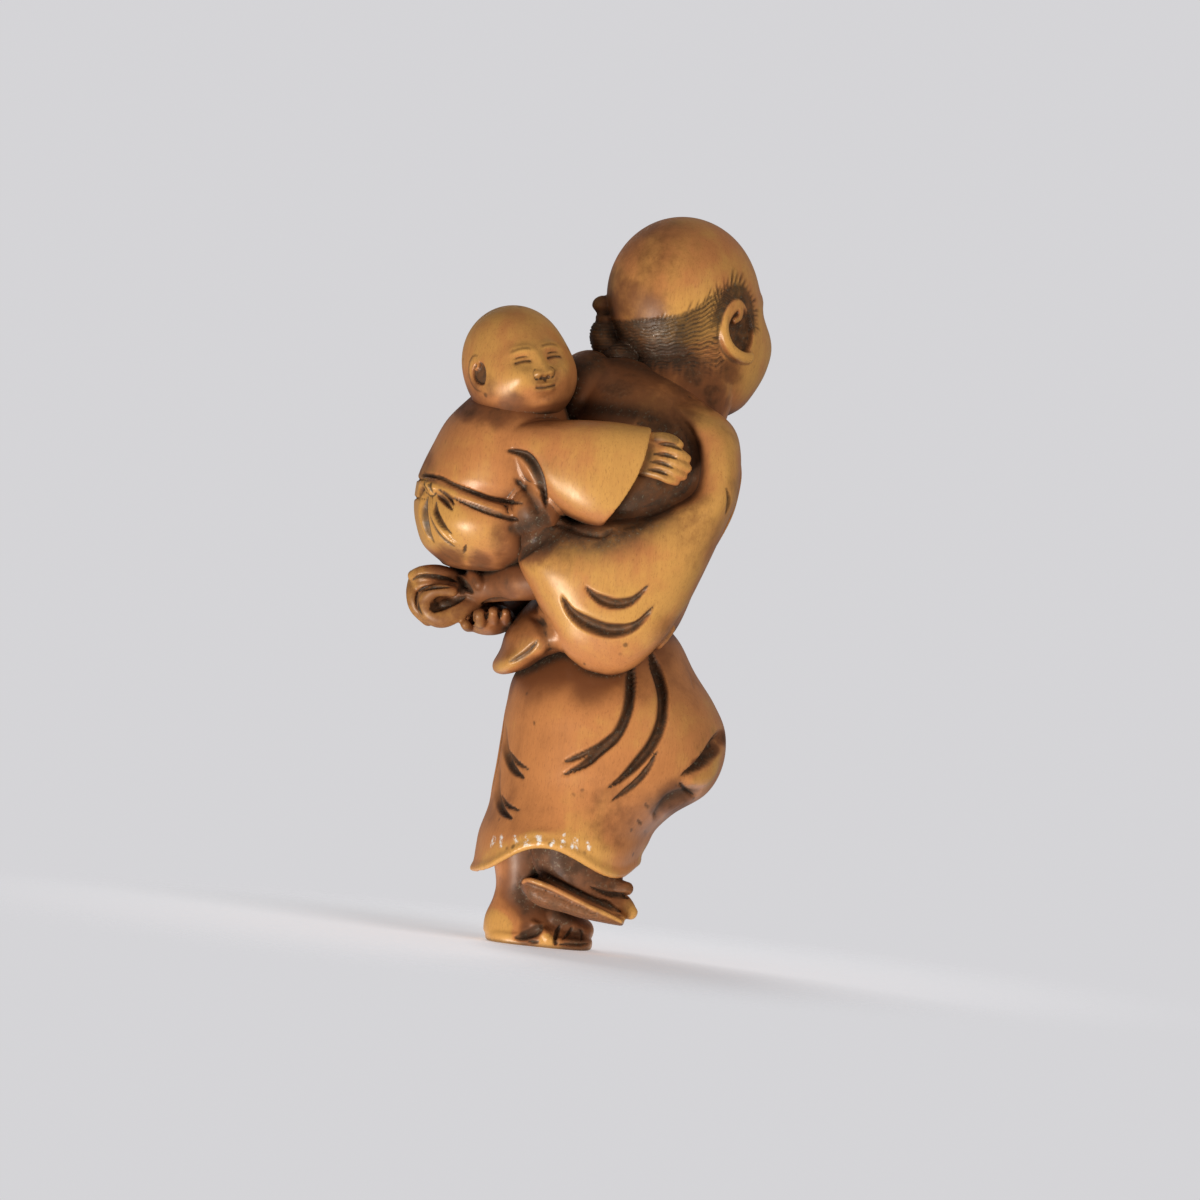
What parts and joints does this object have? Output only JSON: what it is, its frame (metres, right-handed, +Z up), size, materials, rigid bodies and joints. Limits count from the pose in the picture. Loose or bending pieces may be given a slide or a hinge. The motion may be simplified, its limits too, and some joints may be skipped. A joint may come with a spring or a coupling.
{
  "type": "netsuke",
  "caption": "Carved boxwood netsuke of a walking man who carries a child on his back, drilled through the skirt for a cord and standing on one flat sole.",
  "frame": {"origin": "middle of the base box, on the plane the sole stands on", "axes": "+Z up along the figure, +X the way the man walks, +Y towards his left"},
  "size_m": [0.029, 0.0262, 0.0629],
  "materials": {
    "boxwood": "hand-rubbed stained boxwood, soft gloss, dark in the cuts"
  },
  "bodies": {
    "root": {"man_carrying_child": "boxwood"}
  },
  "joints": []
}
